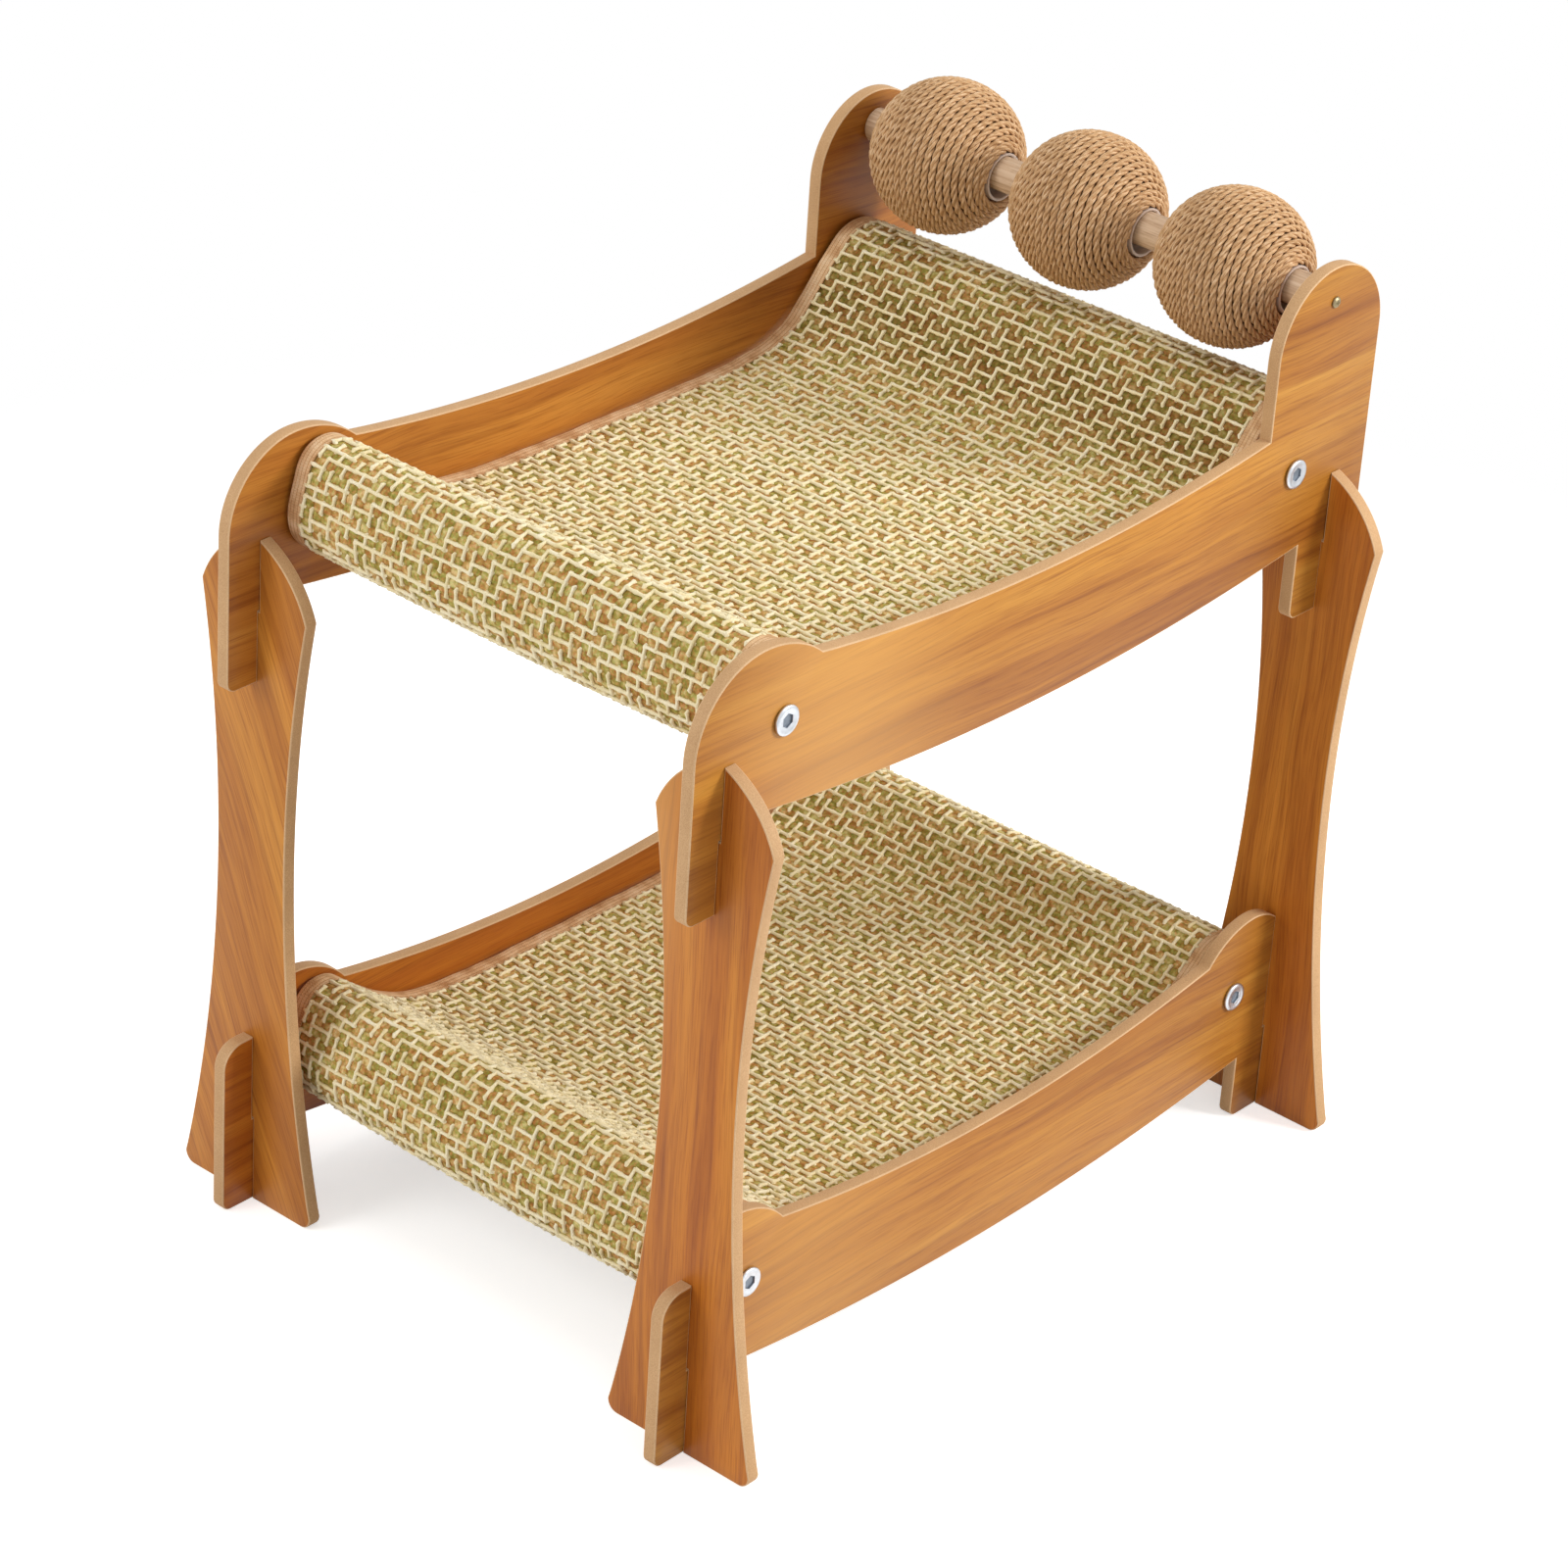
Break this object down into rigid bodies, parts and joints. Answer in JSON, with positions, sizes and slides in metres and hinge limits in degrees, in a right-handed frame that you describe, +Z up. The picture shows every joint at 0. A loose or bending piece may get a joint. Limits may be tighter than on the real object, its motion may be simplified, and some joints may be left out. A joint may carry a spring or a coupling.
{
  "type": "cat scratcher bed",
  "caption": "Bunk-style cat bed of slotted wood-grain boards with woven mats slung between cross tubes, and rope balls turning on a dowel at the head end.",
  "frame": {"origin": "on the floor under the middle of the bed", "axes": "+X to the right seen from the front, +Y to the rear where the balls are, +Z up"},
  "size_m": [0.4286, 0.548, 0.5593],
  "materials": {
    "board_wood": "orange-brown wood-grain laminate on board, plain tan edges",
    "dowel_wood": "bare pale turned wood",
    "plated_steel": "bright plated",
    "tube_plastic": "pale, hidden inside the mats",
    "plug_plastic": "black, hidden inside the tubes",
    "woven_mat": "olive, brown and cream basket weave",
    "binding_tape": "tan woven tape",
    "core_foam": "hidden under the rope",
    "sisal_rope": "tan twisted sisal",
    "liner_plastic": "pale grey"
  },
  "bodies": {
    "frame": {"upper_panel_left": "board_wood", "upper_panel_right": "board_wood", "lower_panel_left": "board_wood", "lower_panel_right": "board_wood", "leg_front_left": "board_wood", "leg_front_right": "board_wood", "leg_rear_left": "board_wood", "leg_rear_right": "board_wood", "cross_tube_upper_front": "tube_plastic", "cross_tube_upper_rear": "tube_plastic", "cross_tube_lower_front": "tube_plastic", "cross_tube_lower_rear": "tube_plastic", "plug_upper_front_left": "plug_plastic", "plug_upper_front_right": "plug_plastic", "plug_upper_rear_left": "plug_plastic", "plug_upper_rear_right": "plug_plastic", "plug_lower_front_left": "plug_plastic", "plug_lower_front_right": "plug_plastic", "plug_lower_rear_left": "plug_plastic", "plug_lower_rear_right": "plug_plastic", "nut_upper_front_left": "plated_steel", "nut_upper_front_right": "plated_steel", "nut_upper_rear_left": "plated_steel", "nut_upper_rear_right": "plated_steel", "nut_lower_front_left": "plated_steel", "nut_lower_front_right": "plated_steel", "nut_lower_rear_left": "plated_steel", "nut_lower_rear_right": "plated_steel", "bolt_upper_front_left": "plated_steel", "bolt_upper_front_right": "plated_steel", "bolt_upper_rear_left": "plated_steel", "bolt_upper_rear_right": "plated_steel", "bolt_lower_front_left": "plated_steel", "bolt_lower_front_right": "plated_steel", "bolt_lower_rear_left": "plated_steel", "bolt_lower_rear_right": "plated_steel", "mat_upper": "woven_mat", "mat_lower": "woven_mat", "binding_upper_left": "binding_tape", "binding_upper_right": "binding_tape", "binding_lower_left": "binding_tape", "binding_lower_right": "binding_tape", "toy_dowel": "dowel_wood", "dowel_screw_left": "plated_steel", "dowel_screw_right": "plated_steel"},
    "liner_1": {"ball_liner_1": "liner_plastic"},
    "ball_1": {"ball_core_1": "core_foam", "ball_rope_1": "sisal_rope"},
    "liner_2": {"ball_liner_2": "liner_plastic"},
    "ball_2": {"ball_core_2": "core_foam", "ball_rope_2": "sisal_rope"},
    "liner_3": {"ball_liner_3": "liner_plastic"},
    "ball_3": {"ball_core_3": "core_foam", "ball_rope_3": "sisal_rope"}
  },
  "joints": [
    {"name": "ball_1_slide", "type": "slide", "parent": "frame", "child": "liner_1", "axis": [1, 0, 0], "range_m": [-0.009, 0.009]},
    {"name": "ball_1_spin", "type": "hinge", "parent": "liner_1", "child": "ball_1", "pos_m": [-0.1051, 0.2285, 0.5158], "axis": [1, 0, 0], "continuous": true},
    {"name": "ball_2_slide", "type": "slide", "parent": "frame", "child": "liner_2", "axis": [1, 0, 0], "range_m": [-0.009, 0.009]},
    {"name": "ball_2_spin", "type": "hinge", "parent": "liner_2", "child": "ball_2", "pos_m": [-0.0026, 0.2285, 0.5158], "axis": [1, 0, 0], "continuous": true},
    {"name": "ball_3_slide", "type": "slide", "parent": "frame", "child": "liner_3", "axis": [1, 0, 0], "range_m": [-0.009, 0.009]},
    {"name": "ball_3_spin", "type": "hinge", "parent": "liner_3", "child": "ball_3", "pos_m": [0.0999, 0.2285, 0.5158], "axis": [1, 0, 0], "continuous": true}
  ]
}
